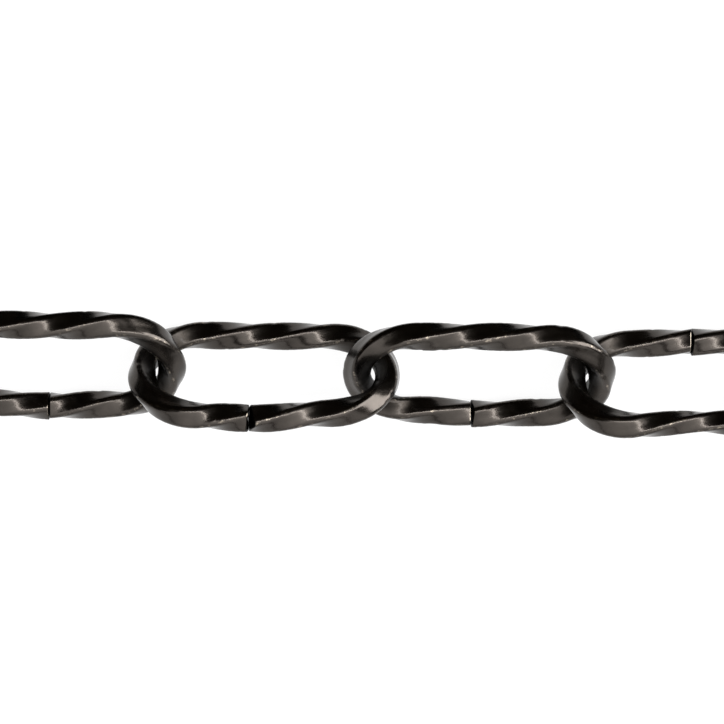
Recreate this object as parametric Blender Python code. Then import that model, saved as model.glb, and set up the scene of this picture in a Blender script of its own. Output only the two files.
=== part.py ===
"""Chandelier chain: a straight run of links, 3 ft drawn tight, each bent from twisted square wire.

Metres, +Z up. The run lies along X on the plane z = 0 with its middle at X = 0. Each link is
an open ring with a butted seam in one leg, bent by hand and so a little uneven. Neighbouring links
lean opposite ways about X, so each rests on one leg, and every link is parented to the one before
it, with its own origin on the wire that it swings about.
"""

import math
import random

import bmesh
import bpy
from mathutils import Matrix, Vector

MM = 0.001

# Driving dimensions. The bow radius and the pitch are to the middle of the wire.
LINK_COUNT = 22
WIRE_SIDE = 4.45 * MM  # seven gauge square wire, across its flats
WIRE_CORNERS = 5.4 * MM  # across its rounded corners
BOW_RADIUS = 11.1 * MM
LEG_LENGTH = 24.5 * MM
SEAM_GAP = 0.4 * MM
EVEN_LEAN = math.radians(48)
ODD_LEAN = math.radians(-46.5)
SIDE_STEP = 0.47 * MM  # even links lie this far towards +Y, odd ones towards -Y

# The section turns left hand as the wire goes on, faster along the legs than round the bows.
LEG_QUARTER_TURN = 13.0 * MM
BOW_TURN = math.radians(183)

# How far the middle of one bow's wire lies inside the other's, with a little play for the swing.
HOLD = 5.75 * MM

# The seam wanders a little along its leg from link to link, and every fourth is in the other leg.
SEAM_MEAN = -1.4 * MM
SEAM_SPREAD = 1.3 * MM
SEAM_STEP = math.radians(118)
SEAM_START = math.radians(126)
SEAM_NUMBER = 10  # the link that the wander starts from

# The four links of the photograph, by number, at eight places round the ring: the middle of the -Y leg, its
# +X end, the +X bow's tip, the +Y leg's +X end, its middle, its -X end, the -X bow's tip, the -Y leg's -X end.
# How far the wire lies outside the even ring there, in mm.
SEEN_BEND = {
    10: (0.3, -0.5, 0, 0.8, 0.35, 0.5, 0, -0.4),
    11: (0.75, -1.0, 0, 0, -0.25, -0.35, 0, 0.25),
    12: (0.25, -0.4, 0, -0.45, -0.45, -0.75, 0, -0.6),
    13: (-0.5, -0.25, 0, 0.7, 0.3, -0.45, 0, 0.7),
}
# How much thicker the wire is there than elsewhere, as a share. One leg was drawn thin.
SEEN_THINNING = {13: (-0.18, 0, 0, 0, 0, 0, 0, 0)}
# The section's angle at the seam, and how far it turns from there to the first bow, round it, along the
# far leg, round the second bow and back to the seam, all in degrees.
SEEN_START = {10: 60, 11: 30, 12: -15, 13: -35}
SEEN_TURNS = {
    10: (95, 190, 180, 140, 80),
    11: (100, 235, 170, 185, 80),
    12: (90, 195, 165, 235, 65),
    13: (80, 185, 185, 150, 70),
}
# Links that aren't in it are bent by chance, up to this much, but not at the bows' tips.
BEND_SPREAD = 0.4 * MM
BEND_SEED = 300
CUT_STEP = math.radians(28)  # they are cut one after another from one long twisted bar

HALF_LEG = LEG_LENGTH / 2
HALF_RING = HALF_LEG + BOW_RADIUS
BOW_LENGTH = math.pi * BOW_RADIUS
RING_LENGTH = 2 * (LEG_LENGTH + BOW_LENGTH)

SECTIONS = 52  # runs of wire from seam to seam
SHARP_ANGLE = math.radians(60)  # only the cut ends are sharp
WELD = 0.01 * MM

LINK_COLOUR = (0.055, 0.05, 0.048, 1.0)
LINK_ROUGHNESS = 0.22


def clear_scene():
    for obj in list(bpy.data.objects):
        bpy.data.objects.remove(obj, do_unlink=True)


def new_collection(name):
    collection = bpy.data.collections.new(name)
    bpy.context.scene.collection.children.link(collection)
    return collection


def black_nickel():
    """Glossy near-black nickel plate on steel."""
    material = bpy.data.materials.new("black_nickel")
    material.use_nodes = True
    shader = material.node_tree.nodes["Principled BSDF"]
    shader.inputs["Base Color"].default_value = LINK_COLOUR
    shader.inputs["Metallic"].default_value = 1.0
    shader.inputs["Roughness"].default_value = LINK_ROUGHNESS
    material.diffuse_color = LINK_COLOUR
    return material


def ring_point(distance, outside):
    """Place (x, y) in a link's own plane, this far along the even ring from the middle of its -Y leg."""
    radius = BOW_RADIUS + outside
    distance %= RING_LENGTH
    if distance < HALF_LEG:
        return distance, -radius
    distance -= HALF_LEG
    if distance < BOW_LENGTH:
        angle = distance / BOW_RADIUS
        return HALF_LEG + radius * math.sin(angle), -radius * math.cos(angle)
    distance -= BOW_LENGTH
    if distance < LEG_LENGTH:
        return HALF_LEG - distance, radius
    distance -= LEG_LENGTH
    if distance < BOW_LENGTH:
        angle = distance / BOW_RADIUS
        return -HALF_LEG - radius * math.sin(angle), radius * math.cos(angle)
    return distance - BOW_LENGTH - HALF_LEG, -radius


def ring_places():
    """Distances of the eight named places round the ring, from the middle of the -Y leg."""
    steps = [0, HALF_LEG, BOW_LENGTH / 2, BOW_LENGTH / 2, HALF_LEG, HALF_LEG, BOW_LENGTH / 2, BOW_LENGTH / 2]
    return [sum(steps[: index + 1]) for index in range(len(steps))]


def blend_round(values, distance):
    """Smooth value at this distance, through the values at the eight places."""
    places = ring_places()
    distance %= RING_LENGTH
    count = len(places)
    low = max(index for index in range(count) if places[index] <= distance)
    high = (low + 1) % count

    def slope(index):
        before, after = (index - 1) % count, (index + 1) % count
        return (values[after] - values[before]) / ((places[after] - places[before]) % RING_LENGTH)

    length = (places[high] - places[low]) % RING_LENGTH
    part = (distance - places[low]) / length
    cube, square = part**3, part**2
    ends = (2 * cube - 3 * square + 1) * values[low] + (3 * square - 2 * cube) * values[high]
    slopes = (cube - 2 * square + part) * slope(low) + (cube - square) * slope(high)
    return ends + length * slopes


def link_bend(number):
    """How far the wire lies outside the even ring at each of the eight places."""
    if number in SEEN_BEND:
        return [bend * MM for bend in SEEN_BEND[number]]
    spread = random.Random(BEND_SEED + number)
    bends = [spread.uniform(-BEND_SPREAD, BEND_SPREAD) for _ in range(8)]
    bends[2] = bends[6] = 0
    return bends


def wire_size(number, distance):
    """Size of the section there, as a share of the plain wire's."""
    return 1 + blend_round(SEEN_THINNING[number], distance) if number in SEEN_THINNING else 1


def seam_in_far_leg(number):
    return number % 4 == 1


def seam_offset(number):
    """How far along its leg, towards +X, a link's seam lies from the leg's middle."""
    return SEAM_MEAN + SEAM_SPREAD * math.sin(SEAM_START + SEAM_STEP * (number - SEAM_NUMBER))


def seam_distance(number):
    """Distance round the ring, from the middle of the -Y leg, at which this link's seam lies."""
    if seam_in_far_leg(number):
        return RING_LENGTH / 2 - seam_offset(number)
    return seam_offset(number)


def stretches(number):
    """Lengths of wire from the seam: to the first bow, round it, along the far leg, round, and back."""
    along = -seam_offset(number) if seam_in_far_leg(number) else seam_offset(number)
    return HALF_LEG - along, BOW_LENGTH, LEG_LENGTH, BOW_LENGTH, HALF_LEG + along


def stretch_turns(number):
    """How far the section turns in each of those stretches."""
    if number in SEEN_TURNS:
        return [math.radians(turn) for turn in SEEN_TURNS[number]]
    first, _, leg, _, last = [math.pi / 2 * length / LEG_QUARTER_TURN for length in stretches(number)]
    return first, BOW_TURN, leg, BOW_TURN, last


def section_turn(number, run):
    """How far the section has turned when the wire has run this far from the seam."""
    turned = 0
    for turn, length in zip(stretch_turns(number), stretches(number)):
        turned += turn * min(max(run / length, 0), 1)
        run -= length
    return turned


def angle_at_seam(number):
    """The section's angle at the seam."""
    if number in SEEN_START:
        return math.radians(SEEN_START[number])
    if number in (1, LINK_COUNT):
        # At its free end each end link has a flat of the wire facing into the eye, where a hook bears.
        free_end = RING_LENGTH * (3 / 4 if number == 1 else 1 / 4)
        return section_turn(number, (free_end - seam_distance(number)) % RING_LENGTH)
    return -CUT_STEP * number


def wire_section(guides):
    """The wire's section about its own middle, a square whose corners are rounded, here by one flat each."""
    data = bpy.data.curves.new("wire_section", "CURVE")
    data.dimensions = "2D"
    spline = data.splines.new("POLY")
    half = WIRE_SIDE / 2
    flat = WIRE_CORNERS / math.sqrt(2) - half
    corners = [(half, flat), (flat, half), (-flat, half), (-half, flat)]
    corners += [(-x, -y) for x, y in corners]
    spline.points.add(len(corners) - 1)
    for point, (x, y) in zip(spline.points, corners):
        point.co = (x, y, 0, 1)
    spline.use_cyclic_u = True
    section = bpy.data.objects.new("wire_section", data)
    section.hide_render = True
    section.display_type = "WIRE"
    guides.objects.link(section)
    return section


def link_name(number):
    return f"link_{number:02d}"


def twisted_wire(number, section):
    """Curve along the ring from one side of the seam to the other, its section turning as it goes."""
    data = bpy.data.curves.new(link_name(number), "CURVE")
    data.dimensions = "3D"
    data.twist_mode = "Z_UP"
    data.bevel_mode = "OBJECT"
    data.bevel_object = section
    data.use_fill_caps = True
    spline = data.splines.new("POLY")
    spline.points.add(SECTIONS)
    bend = link_bend(number)
    for index, point in enumerate(spline.points):
        run = SEAM_GAP / 2 + (RING_LENGTH - SEAM_GAP) * index / SECTIONS
        distance = seam_distance(number) + run
        x, y = ring_point(distance, blend_round(bend, distance))
        point.co = (x, y, 0, 1)
        point.tilt = angle_at_seam(number) - section_turn(number, run)
        point.radius = wire_size(number, distance)
    return bpy.data.objects.new(link_name(number), data)


def link_mesh(number, section, guides):
    """The link's closed mesh in its own plane, with its middle at the origin."""
    wire = twisted_wire(number, section)
    guides.objects.link(wire)
    bpy.context.view_layer.update()
    evaluated = wire.evaluated_get(bpy.context.evaluated_depsgraph_get())
    mesh = bpy.data.meshes.new_from_object(evaluated)
    mesh.name = link_name(number)
    curve = wire.data
    bpy.data.objects.remove(wire)
    bpy.data.curves.remove(curve)
    welded = bmesh.new()
    welded.from_mesh(mesh)
    bmesh.ops.remove_doubles(welded, verts=welded.verts, dist=WELD)
    bmesh.ops.recalc_face_normals(welded, faces=welded.faces)
    welded.to_mesh(mesh)
    welded.free()
    mesh.shade_smooth()
    mesh.set_sharp_from_angle(angle=SHARP_ANGLE)
    return mesh


def link_lean(number):
    """Even links have their +Y leg up, odd ones have it down on the floor."""
    return EVEN_LEAN if number % 2 == 0 else ODD_LEAN


def low_leg_bend(number):
    """How far the leg on the floor lies outside the even ring, where it lies furthest out."""
    bend = link_bend(number)
    if link_lean(number) > 0:
        return max(bend[7], bend[0], bend[1])
    return max(bend[3:6])


def middle_height(number):
    """Height at which the lowest corners of a link touch z = 0, bent as it is."""
    half = WIRE_SIDE / 2
    reach = math.hypot(half, WIRE_CORNERS / math.sqrt(2) - half)
    return (BOW_RADIUS + low_leg_bend(number)) * math.sin(abs(link_lean(number))) + reach


def link_middle(number):
    x = (2 * HALF_RING - HOLD) * (number - (LINK_COUNT + 1) / 2)
    y = SIDE_STEP if number % 2 == 0 else -SIDE_STEP
    return Vector((x, y, middle_height(number)))


def link_pivot(number):
    """Middle of the wire that a link swings about: the +X bow of the link before it."""
    if number == 1:
        return link_middle(number)
    return link_middle(number - 1) + Vector((HALF_RING, 0, 0))


def link_frame(number):
    """The link's own axes: X along the chain, Y across the ring in its plane, origin at its pivot."""
    return Matrix.Translation(link_pivot(number)) @ Matrix.Rotation(link_lean(number), 4, "X")


def add_link(number, before, material, section, chain, guides):
    mesh = link_mesh(number, section, guides)
    to_middle = link_frame(number).inverted() @ link_middle(number)
    mesh.transform(Matrix.Translation(to_middle))
    mesh.materials.append(material)
    link = bpy.data.objects.new(link_name(number), mesh)
    chain.objects.link(link)
    if before is None:
        link.matrix_basis = link_frame(number)
    else:
        link.parent = before
        link.matrix_basis = link_frame(number - 1).inverted() @ link_frame(number)
    return link


def main():
    clear_scene()
    chain = new_collection("Chandelier chain")
    guides = new_collection("Guides")
    section = wire_section(guides)
    material = black_nickel()
    link = None
    for number in range(1, LINK_COUNT + 1):
        link = add_link(number, link, material, section, chain, guides)


main()
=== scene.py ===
"""Dresses the chandelier chain: each link as a fine mesh with worn corners, its finish, light and camera.

Metres, +Z up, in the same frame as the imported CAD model. The chain runs along X. Each link is swept
again along the CAD link's own ring, with the rounded corners, cut ends and dents that the CAD solids
leave out, and stands for that CAD node.
"""

import math
import random

import bpy
from mathutils import Matrix, Vector, noise


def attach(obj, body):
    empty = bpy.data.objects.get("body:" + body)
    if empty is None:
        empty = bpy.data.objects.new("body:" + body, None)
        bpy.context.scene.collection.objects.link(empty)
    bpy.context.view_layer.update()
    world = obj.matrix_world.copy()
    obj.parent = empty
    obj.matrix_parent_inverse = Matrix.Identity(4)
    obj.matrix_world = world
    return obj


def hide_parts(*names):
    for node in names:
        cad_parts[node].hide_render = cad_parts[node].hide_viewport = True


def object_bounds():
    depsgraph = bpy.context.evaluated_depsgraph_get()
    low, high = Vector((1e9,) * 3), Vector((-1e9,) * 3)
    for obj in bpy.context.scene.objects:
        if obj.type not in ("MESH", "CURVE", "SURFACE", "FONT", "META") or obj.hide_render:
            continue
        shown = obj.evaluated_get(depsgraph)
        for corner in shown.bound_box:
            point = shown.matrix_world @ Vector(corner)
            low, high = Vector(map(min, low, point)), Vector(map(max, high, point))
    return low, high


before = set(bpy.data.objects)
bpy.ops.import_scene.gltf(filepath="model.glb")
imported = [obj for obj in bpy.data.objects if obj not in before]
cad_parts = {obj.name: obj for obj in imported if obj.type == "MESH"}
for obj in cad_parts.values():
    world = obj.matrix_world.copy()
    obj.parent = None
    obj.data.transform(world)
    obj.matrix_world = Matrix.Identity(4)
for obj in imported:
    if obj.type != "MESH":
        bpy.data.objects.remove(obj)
cad_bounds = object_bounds()

MM = 0.001

# The links' shape, as in the CAD model. The bow radius and the pitch are to the middle of the wire.
LINK_COUNT = 22
WIRE_SIDE = 4.45 * MM
WIRE_CORNERS = 5.4 * MM
BOW_RADIUS = 11.1 * MM
LEG_LENGTH = 24.5 * MM
EVEN_LEAN = math.radians(48)
ODD_LEAN = math.radians(-46.5)
SIDE_STEP = 0.47 * MM
HOLD = 5.75 * MM

LEG_QUARTER_TURN = 13.0 * MM
BOW_TURN = math.radians(183)
CUT_STEP = math.radians(28)

# The four links of the photograph, by number, at eight places round the ring: the middle of the -Y leg,
# its +X end, the +X bow's tip, the +Y leg's +X end, its middle, its -X end, the -X bow's tip, the -Y leg's
# -X end. How far the wire lies outside the even ring there, in mm.
SEEN_BEND = {
    10: (0.3, -0.5, 0, 0.8, 0.35, 0.5, 0, -0.4),
    11: (0.75, -1.0, 0, 0, -0.25, -0.35, 0, 0.25),
    12: (0.25, -0.4, 0, -0.45, -0.45, -0.75, 0, -0.6),
    13: (-0.5, -0.25, 0, 0.7, 0.3, -0.45, 0, 0.7),
}
# How much thicker the wire is there than elsewhere, as a share. One leg was drawn thin.
SEEN_THINNING = {13: (-0.18, 0, 0, 0, 0, 0, 0, 0)}
# The section's angle at the seam, and how far it turns from there to the first bow, round it, along the
# far leg, round the second bow and back to the seam, all in degrees.
SEEN_START = {10: 60, 11: 30, 12: -15, 13: -35}
SEEN_TURNS = {
    10: (95, 190, 180, 140, 80),
    11: (100, 235, 170, 185, 80),
    12: (90, 195, 165, 235, 65),
    13: (80, 185, 185, 150, 70),
}
# Links that aren't in it are bent by chance, up to this much.
BEND_SPREAD = 0.4 * MM
BEND_SEED = 300

SEAM_MEAN = -1.4 * MM
SEAM_SPREAD = 1.3 * MM
SEAM_STEP = math.radians(118)
SEAM_START = math.radians(126)
SEAM_NUMBER = 10

HALF_LEG = LEG_LENGTH / 2
HALF_RING = HALF_LEG + BOW_RADIUS
BOW_LENGTH = math.pi * BOW_RADIUS
RING_LENGTH = 2 * (LEG_LENGTH + BOW_LENGTH)

# The section's rounded corners: an arc that leaves the flats and passes through the reach of the corners.
HALF_SIDE = WIRE_SIDE / 2
HALF_CORNERS = WIRE_CORNERS / 2
CORNER_RADIUS = (HALF_SIDE * math.sqrt(2) - HALF_CORNERS) / (math.sqrt(2) - 1)
CORNER_STEPS = 6
FLAT_STEPS = 3

# Painted shade on the inner side of each bow: the wire there is coloured near black, where the bow and its
# neighbour shade it.
BOW_FADE = 9.0 * MM  # it dies out over this length of wire
HOLLOW_START = 0.15  # its share on the middle of the wire, from which it grows inwards
HOLLOW_RISE = 1.4

# Cut ends. Each pair is cut a little aslant, nearly touches below, and gapes above and at the outer edge.
SEAM_GAP = 0.02 * MM
SEAM_SLANT = {10: -0.03, 11: 0.13, 12: 0.12, 13: -0.07}
SEAM_SLANT_RANGE = (0.04, 0.1)
SEAM_OPENING = {10: 0.06, 11: 0.22, 12: 0.13, 13: 0.11}  # how fast each end draws back with height
SEAM_OPENING_RANGE = (0.05, 0.15)
SEAM_NOTCH = {10: 0.03 * MM, 11: 0.3 * MM, 12: 0.12 * MM, 13: 0.06 * MM}  # at the outer edge
SEAM_NOTCH_RANGE = (0.02 * MM, 0.15 * MM)
SEAM_STEPS_UP = {10: -0.1 * MM, 11: 0.08 * MM, 12: 0.06 * MM, 13: 0.2 * MM}
SEAM_STEP_RANGE = 0.15 * MM
SEAM_REACH = 1.3 * MM  # the cut's own shape dies out over this length of wire
STEP_REACH = 3.5 * MM
RIM_RADIUS = 0.2 * MM
RIM_STEPS = 5
CAP_RINGS = (0.94, 0.66, 0.33)
RIM_PAINTED_SHADE = 0.85  # painted shade: the rims are coloured this dark, as a share of the full painted shade, except for the glint stretch
RIM_GLINT = 1.4  # painted glint: that stretch counts as this near a corner, so it takes the bright worn colour
# Painted glint: the rim that faces +X, toward the end lamp, is coloured bright between these shares of the
# wire's half width, from -Y to +Y.
RIM_GLINT_SPAN = {10: (-0.9, 0.15), 11: (0.1, 0.5), 12: (-0.7, 0.5), 13: (-0.9, 0.9)}
RIM_GLINT_LOW = (-0.9, 0.0)
RIM_GLINT_HIGH = (0.2, 0.9)

# Relief that bending, twisting and handling leave.
STATION_STEP = 0.34 * MM
NICK_DEPTH = 0.17 * MM
NICK_LENGTH = 1.3 * MM
NICK_THRESHOLD = 0.3
CHATTER_DEPTH = 0.06 * MM
CHATTER_LENGTH = 0.8 * MM
SWELL_DEPTH = 0.05 * MM
SWELL_LENGTH = 6.0 * MM
SWELL_ROUND = 1.6  # radius of the circle that a turn round the wire makes in the swell's noise
NICK_STRIDE = 7.3  # from one corner of the section to the next in the noise
CHATTER_STRIDE = 5.1
CHATTER_SHIFT = 40
SHARP_ANGLE = math.radians(50)

# The finish. Noise scales are per metre.
COAT_WEIGHT = 0.1
COAT_ROUGHNESS = 0.12
CLOUD_SCALE = 260.0
FINE_SCALE = 1000.0
DIMPLE_SCALE = 430.0
TONE_FROM, TONE_TO = 0.3, 0.7
DARK_TONE = (0.038, 0.0332, 0.0292, 1)
LIGHT_TONE = (0.058, 0.0505, 0.0445, 1)
# Painted shade colour: near black, for the bows' inner sides, the rims and the cut ends.
PAINTED_SHADE_COLOUR = (0.004, 0.003, 0.002, 1)
# Colour of worn corners, also used as a painted glint on the +X rims.
WEAR_AND_GLINT_COLOUR = (0.3, 0.26, 0.21, 1)
WORN_FROM, WORN_TO = 0.5, 0.72
ROUGHNESS_LOW, ROUGHNESS_HIGH = 0.17, 0.3
HOLLOW_DULLING = 0.25
DIMPLE_STRENGTH = 0.5
DIMPLE_DEPTH = 0.06 * MM
FINE_STRENGTH = 0.2
FINE_DEPTH = 0.05 * MM

# The photograph's framing, in its own 724 x 724 pixels.
PHOTO_PIXELS = 724
PHOTO_SCALE = 0.1905 * MM  # a pixel at the chain's middle height
VIEW_DISTANCE = 955 * MM
PHOTO_ROLL = math.radians(1.07)
MIDDLE_PIXEL = (372.0, 374.65)  # where the point midway between links 11 and 12 shows
SENSOR_WIDTH = 36.0

# The studio's light. Heights of the wall are in degrees as seen from the chain.
WALL_BANDS = 8
WALL_FOOT = 6.0
WALL_TOP = 86.0
WALL_DISTANCE = 3.0
WALL_LOW = 1.2
WALL_HIGH = 2.9
WALL_POWER = 1.5
WALL_WIDTH_LOW = 7.0
WALL_WIDTH_HIGH = 3.2
WALL_SHIFT = 0.8
EDGE_HEIGHT = 5.0
EDGE_BRIGHTNESS = 14.0
EDGE_DISTANCE = 2.9
END_BOX = {"azimuth": 8, "elevation": 29, "distance": 3.0, "width": 2.4, "height": 2.3, "brightness": 9.0}
END_PANEL = {"azimuth": 0, "elevation": 64, "distance": 3.0, "width": 1.6, "height": 1.4, "brightness": 1.6}
ROOM_COLOUR = (0.026, 0.018, 0.009, 1)

FLOOR_HALF = 12.0
FLOOR_COLOUR = (0.1, 0.1, 0.1, 1)
FLOOR_ROUGHNESS = 0.9
FLOOR_GLOW = 0.92
CARD_EDGE = 40 * MM
CARD_HALF = 6.0
CARD_LIFT = 0.2 * MM
CARD_COLOUR = (0.005, 0.005, 0.005, 1)


def ring_frame(distance):
    """Point of the even ring in the link's plane, outward direction and running direction."""
    distance %= RING_LENGTH
    if distance < HALF_LEG:
        return Vector((distance, -BOW_RADIUS, 0)), Vector((0, -1, 0)), Vector((1, 0, 0))
    distance -= HALF_LEG
    if distance < BOW_LENGTH:
        angle = distance / BOW_RADIUS
        out = Vector((math.sin(angle), -math.cos(angle), 0))
        along = Vector((math.cos(angle), math.sin(angle), 0))
        return Vector((HALF_LEG, 0, 0)) + BOW_RADIUS * out, out, along
    distance -= BOW_LENGTH
    if distance < LEG_LENGTH:
        return Vector((HALF_LEG - distance, BOW_RADIUS, 0)), Vector((0, 1, 0)), Vector((-1, 0, 0))
    distance -= LEG_LENGTH
    if distance < BOW_LENGTH:
        angle = distance / BOW_RADIUS
        out = Vector((-math.sin(angle), math.cos(angle), 0))
        along = Vector((-math.cos(angle), -math.sin(angle), 0))
        return Vector((-HALF_LEG, 0, 0)) + BOW_RADIUS * out, out, along
    distance -= BOW_LENGTH
    return Vector((distance - HALF_LEG, -BOW_RADIUS, 0)), Vector((0, -1, 0)), Vector((1, 0, 0))


def ring_places():
    """Distances of the eight named places round the ring, from the middle of the -Y leg."""
    steps = [0, HALF_LEG, BOW_LENGTH / 2, BOW_LENGTH / 2, HALF_LEG, HALF_LEG, BOW_LENGTH / 2, BOW_LENGTH / 2]
    return [sum(steps[: index + 1]) for index in range(len(steps))]


def blend_round(values, distance):
    """Smooth value at this distance, through the values at the eight places."""
    places = ring_places()
    distance %= RING_LENGTH
    count = len(places)
    low = max(index for index in range(count) if places[index] <= distance)
    high = (low + 1) % count

    def slope(index):
        before, after = (index - 1) % count, (index + 1) % count
        return (values[after] - values[before]) / ((places[after] - places[before]) % RING_LENGTH)

    length = (places[high] - places[low]) % RING_LENGTH
    part = (distance - places[low]) / length
    cube, square = part**3, part**2
    ends = (2 * cube - 3 * square + 1) * values[low] + (3 * square - 2 * cube) * values[high]
    slopes = (cube - 2 * square + part) * slope(low) + (cube - square) * slope(high)
    return ends + length * slopes


def link_bend(number):
    """How far the wire lies outside the even ring at each of the eight places."""
    if number in SEEN_BEND:
        return [bend * MM for bend in SEEN_BEND[number]]
    spread = random.Random(BEND_SEED + number)
    bends = [spread.uniform(-BEND_SPREAD, BEND_SPREAD) for _ in range(8)]
    bends[2] = bends[6] = 0
    return bends


def bow_share(distance):
    """1 in the bows and 0 along the legs, with a soft change over the bows' ends."""
    into_bow = abs(distance % (RING_LENGTH / 2) - RING_LENGTH / 4)
    return min(max((BOW_LENGTH / 2 - into_bow) / BOW_FADE, 0), 1)


def wire_size(number, distance):
    """Size of the section there, as a share of the plain wire's."""
    return 1 + blend_round(SEEN_THINNING[number], distance) if number in SEEN_THINNING else 1


def seam_in_far_leg(number):
    return number % 4 == 1


def seam_offset(number):
    return SEAM_MEAN + SEAM_SPREAD * math.sin(SEAM_START + SEAM_STEP * (number - SEAM_NUMBER))


def seam_distance(number):
    if seam_in_far_leg(number):
        return RING_LENGTH / 2 - seam_offset(number)
    return seam_offset(number)


def stretches(number):
    """Lengths of wire from the seam: to the first bow, round it, along the far leg, round, and back."""
    along = -seam_offset(number) if seam_in_far_leg(number) else seam_offset(number)
    return HALF_LEG - along, BOW_LENGTH, LEG_LENGTH, BOW_LENGTH, HALF_LEG + along


def stretch_turns(number):
    """How far the section turns in each of those stretches."""
    if number in SEEN_TURNS:
        return [math.radians(turn) for turn in SEEN_TURNS[number]]
    first, _, leg, _, last = [math.pi / 2 * length / LEG_QUARTER_TURN for length in stretches(number)]
    return first, BOW_TURN, leg, BOW_TURN, last


def section_turn(number, run):
    """How far the section has turned when the wire has run this far from the seam."""
    turned = 0
    for turn, length in zip(stretch_turns(number), stretches(number)):
        turned += turn * min(max(run / length, 0), 1)
        run -= length
    return turned


def angle_at_seam(number):
    """The section's angle at the seam."""
    if number in SEEN_START:
        return math.radians(SEEN_START[number])
    if number in (1, LINK_COUNT):
        # At its free end each end link has a flat of the wire facing into the eye, where a hook bears.
        free_end = RING_LENGTH * (3 / 4 if number == 1 else 1 / 4)
        return section_turn(number, (free_end - seam_distance(number)) % RING_LENGTH)
    return -CUT_STEP * number


def link_lean(number):
    return EVEN_LEAN if number % 2 == 0 else ODD_LEAN


def low_leg_bend(number):
    """How far the leg on the floor lies outside the even ring, where it lies furthest out."""
    bend = link_bend(number)
    if link_lean(number) > 0:
        return max(bend[7], bend[0], bend[1])
    return max(bend[3:6])


def link_middle(number):
    flat = WIRE_CORNERS / math.sqrt(2) - HALF_SIDE
    reach = math.hypot(HALF_SIDE, flat)
    height = (BOW_RADIUS + low_leg_bend(number)) * math.sin(abs(link_lean(number))) + reach
    x = (2 * HALF_RING - HOLD) * (number - (LINK_COUNT + 1) / 2)
    y = SIDE_STEP if number % 2 == 0 else -SIDE_STEP
    return Vector((x, y, height))


def link_frame(number):
    return Matrix.Translation(link_middle(number)) @ Matrix.Rotation(link_lean(number), 4, "X")


def wire_section():
    """Points round the section: angle, distance from its middle, nearness to a corner, and which corner."""
    middle = HALF_SIDE - CORNER_RADIUS
    points = []
    for corner in range(4):
        for step in range(CORNER_STEPS + 1):
            part = step / CORNER_STEPS
            x = middle + CORNER_RADIUS * math.cos(math.pi / 2 * part)
            y = middle + CORNER_RADIUS * math.sin(math.pi / 2 * part)
            angle = corner * math.pi / 2 + math.atan2(y, x)
            points.append((angle, math.hypot(x, y), math.sin(math.pi * part), corner))
        for step in range(1, FLAT_STEPS):
            x = middle * (1 - 2 * step / FLAT_STEPS)
            angle = corner * math.pi / 2 + math.atan2(HALF_SIDE, x)
            points.append((angle, math.hypot(x, HALF_SIDE), 0.0, corner))
    return points


def stations():
    """Runs of wire from the seam at which a section is made, with how far the rim is rounded in there."""
    rim = []
    for step in range(RIM_STEPS):
        angle = math.pi / 2 * step / RIM_STEPS
        rim.append((RIM_RADIUS * (1 - math.cos(angle)), RIM_RADIUS * (1 - math.sin(angle))))
    first, last = SEAM_GAP / 2, RING_LENGTH - SEAM_GAP / 2
    plain = last - first - 2 * RIM_RADIUS
    count = round(plain / STATION_STEP)
    middle = [(first + RIM_RADIUS + plain * step / count, 0.0) for step in range(count + 1)]
    start = [(first + back, inset) for back, inset in rim]
    end = [(last - back, inset) for back, inset in reversed(rim)]
    return start + middle + end


def corner_loss(run, corner, seed):
    """How far the corner is knocked in there: a few nicks over a fine chatter."""
    nick = noise.noise(Vector((run / NICK_LENGTH, corner * NICK_STRIDE, seed))) - NICK_THRESHOLD
    chatter = noise.noise(Vector((run / CHATTER_LENGTH, corner * CHATTER_STRIDE, seed + CHATTER_SHIFT)))
    return NICK_DEPTH * max(nick, 0) / (1 - NICK_THRESHOLD) + CHATTER_DEPTH * abs(chatter)


def swell(run, angle, seed):
    """Low unevenness of the flats."""
    across, up = SWELL_ROUND * math.cos(angle), SWELL_ROUND * math.sin(angle)
    return SWELL_DEPTH * noise.noise(Vector((run / SWELL_LENGTH, across, up + seed)))


class Cut:
    """Shape of one link's cut ends, as a shift of the wire's points near them."""

    def __init__(self, number, up, sideways, spread):
        self.up = up
        self.sideways = sideways
        self.slant = SEAM_SLANT.get(number, spread.uniform(*SEAM_SLANT_RANGE))
        self.opening = SEAM_OPENING.get(number, spread.uniform(*SEAM_OPENING_RANGE))
        self.notch = SEAM_NOTCH.get(number, spread.uniform(*SEAM_NOTCH_RANGE))
        self.step = SEAM_STEPS_UP.get(number, spread.uniform(-SEAM_STEP_RANGE, SEAM_STEP_RANGE))
        chance = (spread.uniform(*RIM_GLINT_LOW), spread.uniform(*RIM_GLINT_HIGH))
        self.glint_span = RIM_GLINT_SPAN.get(number, chance)

    def shift(self, run, offset, out, along):
        back = 1 if run < RING_LENGTH / 2 else -1
        from_end = min(run, RING_LENGTH - run)
        near = math.exp(-from_end / SEAM_REACH)
        height = offset.dot(self.up)
        outward = offset.dot(out) / HALF_SIDE
        drawn_back = self.opening * max(height, 0) + self.notch * max(outward, 0) ** 3
        shift = near * (self.slant * height + back * drawn_back) * along
        if back > 0:
            shift += self.step * math.exp(-from_end / STEP_REACH) * Vector((0, 0, 1))
        return shift

    def rim_has_painted_glint(self, run, offset, along):
        """Whether the rim gets a painted glint at this point: it faces +X, toward the end lamp, within the
        glint span.
        """
        faces_right = along.x < 0 if run < RING_LENGTH / 2 else along.x > 0
        low, high = self.glint_span
        return faces_right and low < offset.dot(self.sideways) / HALF_SIDE < high


def painted_shade_share(in_bow, outward):
    """How much painted shade the bow's inner side gets there. Outward runs from -1 inside the bow to 1
    outside it.
    """
    return in_bow * min(max(HOLLOW_START - HOLLOW_RISE * outward, 0), 1)


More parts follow.
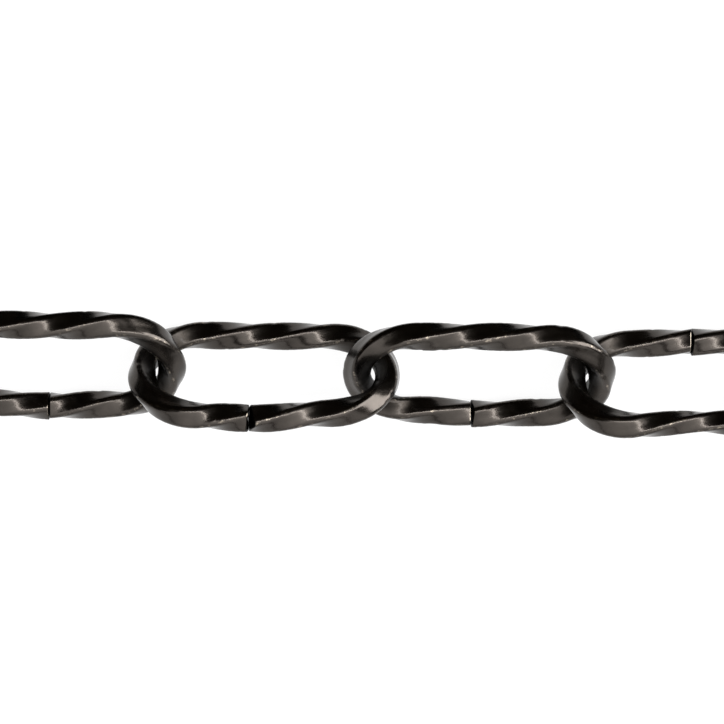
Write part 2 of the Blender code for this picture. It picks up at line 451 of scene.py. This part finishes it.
def link_mesh(number):
    """The link's closed mesh where the link lies at rest, with two named values at each point for its
    finish.
    """
    spread = random.Random(number)
    seed = spread.uniform(0, 100)
    section = wire_section()
    places = stations()
    to_world = link_frame(number)
    to_link = to_world.to_3x3().inverted()
    cut = Cut(number, to_link @ Vector((0, 0, 1)), to_link @ Vector((0, 1, 0)), spread)
    seam = seam_distance(number)
    bend = link_bend(number)
    points, wear_and_glint, painted_shade = [], [], []
    for run, inset in places:
        middle, out, along = ring_frame(seam + run)
        middle += blend_round(bend, seam + run) * out
        size = wire_size(number, seam + run)
        twist = angle_at_seam(number) - section_turn(number, run)
        in_bow = bow_share(seam + run)
        for angle, reach, near, corner in section:
            radius = size * reach - inset - corner_loss(run, corner, seed) * near + swell(run, angle, seed)
            side = math.sin(angle + twist) * out
            offset = radius * (Vector((0, 0, math.cos(angle + twist))) + side)
            points.append(middle + offset + cut.shift(run, offset, out, along))
            # Rims get painted shade, except for the +X-facing stretch, which gets a painted glint; the bows'
            # inner sides get painted shade.
            if inset:
                has_glint = cut.rim_has_painted_glint(run, offset, along)
                wear_and_glint.append(RIM_GLINT if has_glint else 0.0)
                painted_shade.append(0.0 if has_glint else RIM_PAINTED_SHADE)
            else:
                wear_and_glint.append(near)
                painted_shade.append(painted_shade_share(in_bow, offset.dot(out) / HALF_SIDE))
    ring = len(section)
    faces = []
    for index in range(len(places) - 1):
        low, high = index * ring, (index + 1) * ring
        for step in range(ring):
            turned = (step + 1) % ring
            faces.append((low + step, low + turned, high + turned, high + step))
    for end in (0, len(places) - 1):
        faces += cap_faces(points, wear_and_glint, painted_shade, end * ring, ring, end > 0)
    mesh = bpy.data.meshes.new(f"link_{number:02d}")
    mesh.from_pydata([to_world @ point for point in points], [], faces)
    mesh.update()
    add_wire_map(mesh, wear_and_glint, painted_shade)
    return mesh


def cap_faces(points, wear_and_glint, painted_shade, start, ring, far_end):
    """Closes one cut end with shrinking rings and a middle point."""
    edge = list(range(start, start + ring))
    middle = sum((points[index] for index in edge), Vector()) / ring
    faces = []
    outer = edge
    # The cut end's rings and middle point get the full painted shade, which makes the seam's groove look
    # shaded.
    for share in CAP_RINGS:
        inner = []
        for index in edge:
            inner.append(len(points))
            points.append(middle + (points[index] - middle) * share)
            wear_and_glint.append(0.0)
            painted_shade.append(1.0)
        for step in range(ring):
            turned = (step + 1) % ring
            faces.append((outer[step], inner[step], inner[turned], outer[turned]))
        outer = inner
    points.append(middle)
    wear_and_glint.append(0.0)
    painted_shade.append(1.0)
    for step in range(ring):
        faces.append((outer[step], len(points) - 1, outer[(step + 1) % ring]))
    return [tuple(reversed(face)) for face in faces] if far_end else faces


def add_wire_map(mesh, wear_and_glint, painted_shade):
    """Two named values at each point for the finish: closeness to a corner, which on the +X rims holds a
    painted glint, and share of painted shade.
    """
    for name, values in (("corner", wear_and_glint), ("painted_shade", painted_shade)):
        layer = mesh.attributes.new(name, "FLOAT", "POINT")
        layer.data.foreach_set("value", values)
    mesh.shade_smooth()
    mesh.set_sharp_from_angle(angle=SHARP_ANGLE)


def new_node(tree, kind, **values):
    node = tree.nodes.new(kind)
    for name, value in values.items():
        if name in node.inputs:
            node.inputs[name].default_value = value
        else:
            setattr(node, name, value)
    return node


def black_nickel():
    """Glossy warm black nickel: bright where corners are worn and as a painted glint on the +X rims, near
    black as painted shade on the bows' inner sides, the rims and the cut ends.
    """
    material = bpy.data.materials.new("black_nickel_worn_painted_light")
    material.use_nodes = True
    tree = material.node_tree
    shader = tree.nodes["Principled BSDF"]
    shader.inputs["Metallic"].default_value = 1.0
    shader.inputs["Coat Weight"].default_value = COAT_WEIGHT
    shader.inputs["Coat Roughness"].default_value = COAT_ROUGHNESS
    place = new_node(tree, "ShaderNodeTexCoord")
    corner = new_node(tree, "ShaderNodeAttribute", attribute_name="corner")

    cloud = new_node(tree, "ShaderNodeTexNoise", Scale=CLOUD_SCALE, Detail=3.0, Roughness=0.6)
    tree.links.new(place.outputs["Object"], cloud.inputs["Vector"])
    tone = new_node(tree, "ShaderNodeValToRGB")
    tone.color_ramp.elements[0].position = TONE_FROM
    tone.color_ramp.elements[0].color = DARK_TONE
    tone.color_ramp.elements[1].position = TONE_TO
    tone.color_ramp.elements[1].color = LIGHT_TONE
    tree.links.new(cloud.outputs["Fac"], tone.inputs["Fac"])

    fine = new_node(tree, "ShaderNodeTexNoise", Scale=FINE_SCALE, Detail=4.0, Roughness=0.7)
    tree.links.new(place.outputs["Object"], fine.inputs["Vector"])
    # Worn corners, and the painted glint on the +X rims, take the bright worn colour.
    rubbed_and_glint = new_node(tree, "ShaderNodeMath", operation="MULTIPLY")
    tree.links.new(corner.outputs["Fac"], rubbed_and_glint.inputs[0])
    tree.links.new(fine.outputs["Fac"], rubbed_and_glint.inputs[1])
    worn = new_node(tree, "ShaderNodeMapRange")
    worn.inputs["From Min"].default_value = WORN_FROM
    worn.inputs["From Max"].default_value = WORN_TO
    tree.links.new(rubbed_and_glint.outputs["Value"], worn.inputs["Value"])
    # Painted shade: near black where the painted shade value is high, and rougher there too.
    inside = new_node(tree, "ShaderNodeAttribute", attribute_name="painted_shade")
    painted_shade_mix = new_node(tree, "ShaderNodeMix", data_type="RGBA")
    tree.links.new(inside.outputs["Fac"], painted_shade_mix.inputs[0])
    tree.links.new(tone.outputs["Color"], painted_shade_mix.inputs[6])
    painted_shade_mix.inputs[7].default_value = PAINTED_SHADE_COLOUR
    colour = new_node(tree, "ShaderNodeMix", data_type="RGBA")
    tree.links.new(worn.outputs["Result"], colour.inputs[0])
    tree.links.new(painted_shade_mix.outputs[2], colour.inputs[6])
    colour.inputs[7].default_value = WEAR_AND_GLINT_COLOUR
    tree.links.new(colour.outputs[2], shader.inputs["Base Color"])

    gloss = new_node(tree, "ShaderNodeMapRange")
    gloss.inputs["To Min"].default_value = ROUGHNESS_LOW
    gloss.inputs["To Max"].default_value = ROUGHNESS_HIGH
    tree.links.new(cloud.outputs["Fac"], gloss.inputs["Value"])
    dull = new_node(tree, "ShaderNodeMath", operation="MULTIPLY_ADD")
    dull.inputs[1].default_value = HOLLOW_DULLING
    tree.links.new(inside.outputs["Fac"], dull.inputs[0])
    tree.links.new(gloss.outputs["Result"], dull.inputs[2])
    tree.links.new(dull.outputs["Value"], shader.inputs["Roughness"])

    dimples = new_node(tree, "ShaderNodeTexNoise", Scale=DIMPLE_SCALE, Detail=2.0, Roughness=0.5)
    tree.links.new(place.outputs["Object"], dimples.inputs["Vector"])
    wavy = new_node(tree, "ShaderNodeBump", Strength=DIMPLE_STRENGTH, Distance=DIMPLE_DEPTH)
    tree.links.new(dimples.outputs["Fac"], wavy.inputs["Height"])
    bump = new_node(tree, "ShaderNodeBump", Strength=FINE_STRENGTH, Distance=FINE_DEPTH)
    tree.links.new(fine.outputs["Fac"], bump.inputs["Height"])
    tree.links.new(wavy.outputs["Normal"], bump.inputs["Normal"])
    tree.links.new(bump.outputs["Normal"], shader.inputs["Normal"])
    return material


def add_link(number, finish):
    link = bpy.data.objects.new(f"worn_link_{number:02d}", link_mesh(number))
    link.data.materials.append(finish)
    bpy.context.scene.collection.objects.link(link)
    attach(link, f"link_{number:02d}")
    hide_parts(f"link_{number:02d}")
    return link


def sheet(name, low, high, height, material):
    """A level sheet from one corner (x, y) to the other."""
    corners = [(low[0], low[1], 0), (high[0], low[1], 0), (high[0], high[1], 0), (low[0], high[1], 0)]
    mesh = bpy.data.meshes.new(name)
    mesh.from_pydata(corners, [], [(0, 1, 2, 3)])
    mesh.materials.append(material)
    obj = bpy.data.objects.new(name, mesh)
    obj.location.z = height
    bpy.context.scene.collection.objects.link(obj)
    return obj


def pale_floor():
    """A wide lit white table, which the chain lies on."""
    material = bpy.data.materials.new("white_table")
    material.use_nodes = True
    tree = material.node_tree
    shader = tree.nodes["Principled BSDF"]
    shader.inputs["Base Color"].default_value = FLOOR_COLOUR
    shader.inputs["Roughness"].default_value = FLOOR_ROUGHNESS
    shader.inputs["Emission Color"].default_value = (1, 1, 1, 1)
    shader.inputs["Emission Strength"].default_value = FLOOR_GLOW
    floor = sheet("floor", (-FLOOR_HALF, -FLOOR_HALF), (FLOOR_HALF, FLOOR_HALF), cad_bounds[0][2], material)


def soft_light(name, azimuth, elevation, distance, width, height, brightness, sideways=0.0):
    """A soft panel that faces the chain's middle. Azimuth 0 is +X, 90 is +Y. Brightness is its radiance."""
    turn, rise = math.radians(azimuth), math.radians(elevation)
    direction = Vector((math.cos(rise) * math.cos(turn), math.cos(rise) * math.sin(turn), math.sin(rise)))
    light = bpy.data.lights.new(name, "AREA")
    light.shape = "RECTANGLE"
    light.size = width
    light.size_y = height
    light.energy = brightness * math.pi * width * height
    panel = bpy.data.objects.new(name, light)
    panel.rotation_euler = direction.to_track_quat("Z", "Y").to_euler()
    panel.location = distance * direction + panel.rotation_euler.to_matrix() @ Vector((sideways, 0, 0))
    panel.visible_camera = False
    bpy.context.scene.collection.objects.link(panel)
    return panel


def white_wall():
    """A curved white wall on the -Y side that leans over the chain as far as straight above it, from
    level bands. It is brighter higher up, with a narrow bright edge at the top."""
    rise = (WALL_TOP - WALL_FOOT) / WALL_BANDS
    for band in range(WALL_BANDS):
        part = (band + 0.5) / WALL_BANDS
        brightness = WALL_LOW + (WALL_HIGH - WALL_LOW) * part**WALL_POWER
        width = WALL_WIDTH_LOW + (WALL_WIDTH_HIGH - WALL_WIDTH_LOW) * part
        elevation = WALL_FOOT + rise * (band + 0.5)
        height = WALL_DISTANCE * math.radians(rise)
        name = f"wall_{band}"
        soft_light(name, -90, elevation, WALL_DISTANCE, width, height, brightness, WALL_SHIFT * part)
    height = WALL_DISTANCE * math.radians(EDGE_HEIGHT)
    middle = WALL_TOP - EDGE_HEIGHT / 2
    soft_light("wall_edge", -90, middle, EDGE_DISTANCE, WALL_WIDTH_HIGH, height, EDGE_BRIGHTNESS, WALL_SHIFT)


def black_card():
    """Black card over the table's far part, outside the picture, which keeps the +Y flats dark."""
    material = bpy.data.materials.new("black_card")
    material.use_nodes = True
    shader = material.node_tree.nodes["Principled BSDF"]
    shader.inputs["Base Color"].default_value = CARD_COLOUR
    shader.inputs["Roughness"].default_value = 1.0
    shader.inputs["Specular IOR Level"].default_value = 0.0
    height = cad_bounds[0][2] + CARD_LIFT
    card = sheet("black_card", (-CARD_HALF, CARD_EDGE), (CARD_HALF, CARD_HALF), height, material)
    card.visible_camera = False
    card.visible_shadow = False
    card.visible_diffuse = False


def studio():
    """A dark room with the white wall on one side and a light box at the +X end."""
    world = bpy.data.worlds.new("studio")
    bpy.context.scene.world = world
    world.use_nodes = True
    tree = world.node_tree
    tree.nodes.clear()
    output = tree.nodes.new("ShaderNodeOutputWorld")
    path = tree.nodes.new("ShaderNodeLightPath")
    room = new_node(tree, "ShaderNodeBackground", Color=ROOM_COLOUR)
    backdrop = new_node(tree, "ShaderNodeBackground", Color=(1, 1, 1, 1))
    mixed = tree.nodes.new("ShaderNodeMixShader")
    tree.links.new(path.outputs["Is Camera Ray"], mixed.inputs["Fac"])
    tree.links.new(room.outputs["Background"], mixed.inputs[1])
    tree.links.new(backdrop.outputs["Background"], mixed.inputs[2])
    tree.links.new(mixed.outputs["Shader"], output.inputs["Surface"])
    white_wall()
    black_card()
    soft_light("end_box", **END_BOX)
    soft_light("end_panel", **END_PANEL)


def photo_camera():
    """Looks straight down through a long lens, turned so that the chain slopes as in the photograph."""
    data = bpy.data.cameras.new("photo_camera")
    data.sensor_width = SENSOR_WIDTH
    data.lens = SENSOR_WIDTH * VIEW_DISTANCE / (PHOTO_PIXELS * PHOTO_SCALE)
    camera = bpy.data.objects.new("photo_camera", data)
    bpy.context.scene.collection.objects.link(camera)
    seen = (link_middle(11) + link_middle(12)) / 2
    off_right = (PHOTO_PIXELS / 2 - MIDDLE_PIXEL[0]) * PHOTO_SCALE
    off_up = (MIDDLE_PIXEL[1] - PHOTO_PIXELS / 2) * PHOTO_SCALE
    aim = seen + Matrix.Rotation(PHOTO_ROLL, 4, "Z") @ Vector((off_right, off_up, 0))
    camera.location = aim + Vector((0, 0, VIEW_DISTANCE))
    camera.rotation_euler = (0, 0, PHOTO_ROLL)
    bpy.context.scene.camera = camera


def main():
    bpy.context.scene.view_settings.view_transform = "Standard"
    finish = black_nickel()
    for number in range(1, LINK_COUNT + 1):
        add_link(number, finish)
    pale_floor()
    studio()
    photo_camera()


main()
